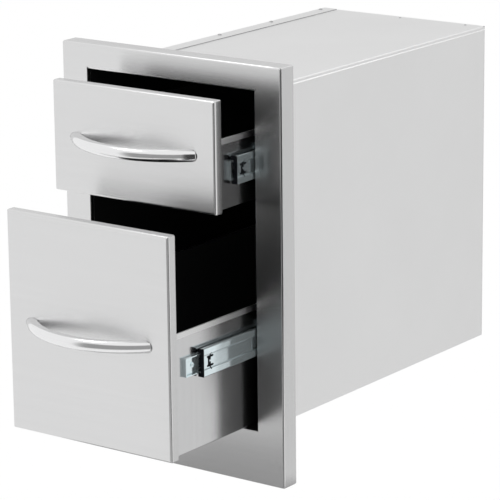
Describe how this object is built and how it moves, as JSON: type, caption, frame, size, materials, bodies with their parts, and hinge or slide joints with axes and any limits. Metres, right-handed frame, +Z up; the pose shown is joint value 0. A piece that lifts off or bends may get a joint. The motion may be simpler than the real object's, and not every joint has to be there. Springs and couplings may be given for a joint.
{
  "type": "outdoor kitchen drawer unit",
  "caption": "Built-in stainless drawer unit: a face frame and folded casing with drawers on full-extension ball-bearing slides and bow handles, drawn part open.",
  "frame": {"origin": "the middle of the face frame's lower rear lip, on the face that meets the island", "axes": "+X to the right seen from the front, +Y into the island towards the back of the casing, +Z up"},
  "size_m": [0.342, 0.736, 0.5334],
  "materials": {
    "brushed_steel": "fine straight-line brushed stainless steel",
    "casing_steel": "matte mill-finish stainless sheet",
    "polished_steel": "polished stainless bar",
    "zinc_plate": "bright bluish zinc plate",
    "black_plastic": "moulded black plastic"
  },
  "bodies": {
    "cabinet": {"face_frame": "brushed_steel", "left_side_panel": "casing_steel", "right_side_panel": "casing_steel", "top_panel": "casing_steel", "bottom_panel": "casing_steel", "back_panel": "casing_steel", "upper_left_cabinet_member": "zinc_plate", "upper_left_rear_bumper": "black_plastic", "upper_right_cabinet_member": "zinc_plate", "upper_right_rear_bumper": "black_plastic", "lower_left_cabinet_member": "zinc_plate", "lower_left_rear_bumper": "black_plastic", "lower_right_cabinet_member": "zinc_plate", "lower_right_rear_bumper": "black_plastic"},
    "upper_drawer": {"upper_drawer_front": "brushed_steel", "upper_front_liner": "brushed_steel", "upper_handle": "polished_steel", "upper_handle_left_screw": "zinc_plate", "upper_handle_right_screw": "zinc_plate", "upper_drawer_left_wall": "casing_steel", "upper_drawer_right_wall": "casing_steel", "upper_drawer_floor": "casing_steel", "upper_drawer_back_wall": "casing_steel", "upper_left_drawer_member": "zinc_plate", "upper_left_slide_screw": "zinc_plate", "upper_right_drawer_member": "zinc_plate", "upper_right_slide_screw": "zinc_plate"},
    "lower_drawer": {"lower_drawer_front": "brushed_steel", "lower_front_liner": "brushed_steel", "lower_handle": "polished_steel", "lower_handle_left_screw": "zinc_plate", "lower_handle_right_screw": "zinc_plate", "lower_drawer_left_wall": "casing_steel", "lower_drawer_right_wall": "casing_steel", "lower_drawer_floor": "casing_steel", "lower_drawer_back_wall": "casing_steel", "lower_left_drawer_member": "zinc_plate", "lower_left_slide_screw": "zinc_plate", "lower_right_drawer_member": "zinc_plate", "lower_right_slide_screw": "zinc_plate"},
    "upper_left_intermediate": {"upper_left_intermediate_member": "zinc_plate", "upper_left_front_bumper": "black_plastic"},
    "upper_right_intermediate": {"upper_right_intermediate_member": "zinc_plate", "upper_right_front_bumper": "black_plastic"},
    "lower_left_intermediate": {"lower_left_intermediate_member": "zinc_plate", "lower_left_front_bumper": "black_plastic"},
    "lower_right_intermediate": {"lower_right_intermediate_member": "zinc_plate", "lower_right_front_bumper": "black_plastic"},
    "upper_left_outer_cage": {"upper_left_outer_ball_cage": "zinc_plate"},
    "upper_left_inner_cage": {"upper_left_inner_ball_cage": "zinc_plate"},
    "upper_right_outer_cage": {"upper_right_outer_ball_cage": "zinc_plate"},
    "upper_right_inner_cage": {"upper_right_inner_ball_cage": "zinc_plate"},
    "lower_left_outer_cage": {"lower_left_outer_ball_cage": "zinc_plate"},
    "lower_left_inner_cage": {"lower_left_inner_ball_cage": "zinc_plate"},
    "lower_right_outer_cage": {"lower_right_outer_ball_cage": "zinc_plate"},
    "lower_right_inner_cage": {"lower_right_inner_ball_cage": "zinc_plate"},
    "upper_left_lever": {"upper_left_release_lever": "black_plastic"},
    "upper_right_lever": {"upper_right_release_lever": "black_plastic"},
    "lower_left_lever": {"lower_left_release_lever": "black_plastic"},
    "lower_right_lever": {"lower_right_release_lever": "black_plastic"}
  },
  "joints": [
    {"name": "upper_first_stage", "type": "slide", "parent": "cabinet", "child": "upper_right_intermediate", "axis": [0, -1, 0], "range_m": [-0.059, 0.166]},
    {"name": "upper_second_stage", "type": "slide", "parent": "upper_right_intermediate", "child": "upper_drawer", "axis": [0, -1, 0], "range_m": [-0.015, 0.21]},
    {"name": "upper_left_first_stage", "type": "slide", "parent": "cabinet", "child": "upper_left_intermediate", "axis": [0, -1, 0], "range_m": [-0.059, 0.166]},
    {"name": "upper_right_outer_cage_roll", "type": "slide", "parent": "cabinet", "child": "upper_right_outer_cage", "axis": [0, -1, 0], "range_m": [-0.0295, 0.083]},
    {"name": "upper_left_outer_cage_roll", "type": "slide", "parent": "cabinet", "child": "upper_left_outer_cage", "axis": [0, -1, 0], "range_m": [-0.0295, 0.083]},
    {"name": "upper_right_inner_cage_roll", "type": "slide", "parent": "upper_right_intermediate", "child": "upper_right_inner_cage", "axis": [0, -1, 0], "range_m": [-0.0075, 0.105]},
    {"name": "upper_left_inner_cage_roll", "type": "slide", "parent": "upper_left_intermediate", "child": "upper_left_inner_cage", "axis": [0, -1, 0], "range_m": [-0.0075, 0.105]},
    {"name": "lower_first_stage", "type": "slide", "parent": "cabinet", "child": "lower_right_intermediate", "axis": [0, -1, 0], "range_m": [-0.131, 0.094]},
    {"name": "lower_second_stage", "type": "slide", "parent": "lower_right_intermediate", "child": "lower_drawer", "axis": [0, -1, 0], "range_m": [-0.037, 0.188]},
    {"name": "lower_left_first_stage", "type": "slide", "parent": "cabinet", "child": "lower_left_intermediate", "axis": [0, -1, 0], "range_m": [-0.131, 0.094]},
    {"name": "lower_right_outer_cage_roll", "type": "slide", "parent": "cabinet", "child": "lower_right_outer_cage", "axis": [0, -1, 0], "range_m": [-0.0655, 0.047]},
    {"name": "lower_left_outer_cage_roll", "type": "slide", "parent": "cabinet", "child": "lower_left_outer_cage", "axis": [0, -1, 0], "range_m": [-0.0655, 0.047]},
    {"name": "lower_right_inner_cage_roll", "type": "slide", "parent": "lower_right_intermediate", "child": "lower_right_inner_cage", "axis": [0, -1, 0], "range_m": [-0.0185, 0.094]},
    {"name": "lower_left_inner_cage_roll", "type": "slide", "parent": "lower_left_intermediate", "child": "lower_left_inner_cage", "axis": [0, -1, 0], "range_m": [-0.0185, 0.094]},
    {"name": "upper_left_lever_tilt", "type": "hinge", "parent": "upper_drawer", "child": "upper_left_lever", "pos_m": [-0.12145, -0.008, 0.4027], "axis": [1, 0, 0], "range_deg": [-8, 8], "stiffness_Nm_per_rad": 0.005},
    {"name": "upper_right_lever_tilt", "type": "hinge", "parent": "upper_drawer", "child": "upper_right_lever", "pos_m": [0.12145, -0.008, 0.4027], "axis": [1, 0, 0], "range_deg": [-8, 8], "stiffness_Nm_per_rad": 0.005},
    {"name": "lower_left_lever_tilt", "type": "hinge", "parent": "lower_drawer", "child": "lower_left_lever", "pos_m": [-0.12145, -0.102, 0.1772], "axis": [1, 0, 0], "range_deg": [-8, 8], "stiffness_Nm_per_rad": 0.005},
    {"name": "lower_right_lever_tilt", "type": "hinge", "parent": "lower_drawer", "child": "lower_right_lever", "pos_m": [0.12145, -0.102, 0.1772], "axis": [1, 0, 0], "range_deg": [-8, 8], "stiffness_Nm_per_rad": 0.005}
  ],
  "couplings": [
    {"joint": "upper_left_first_stage", "follows": "upper_first_stage", "ratio": 1},
    {"joint": "upper_right_outer_cage_roll", "follows": "upper_first_stage", "ratio": 0.5},
    {"joint": "upper_left_outer_cage_roll", "follows": "upper_first_stage", "ratio": 0.5},
    {"joint": "upper_right_inner_cage_roll", "follows": "upper_second_stage", "ratio": 0.5},
    {"joint": "upper_left_inner_cage_roll", "follows": "upper_second_stage", "ratio": 0.5},
    {"joint": "lower_left_first_stage", "follows": "lower_first_stage", "ratio": 1},
    {"joint": "lower_right_outer_cage_roll", "follows": "lower_first_stage", "ratio": 0.5},
    {"joint": "lower_left_outer_cage_roll", "follows": "lower_first_stage", "ratio": 0.5},
    {"joint": "lower_right_inner_cage_roll", "follows": "lower_second_stage", "ratio": 0.5},
    {"joint": "lower_left_inner_cage_roll", "follows": "lower_second_stage", "ratio": 0.5}
  ]
}
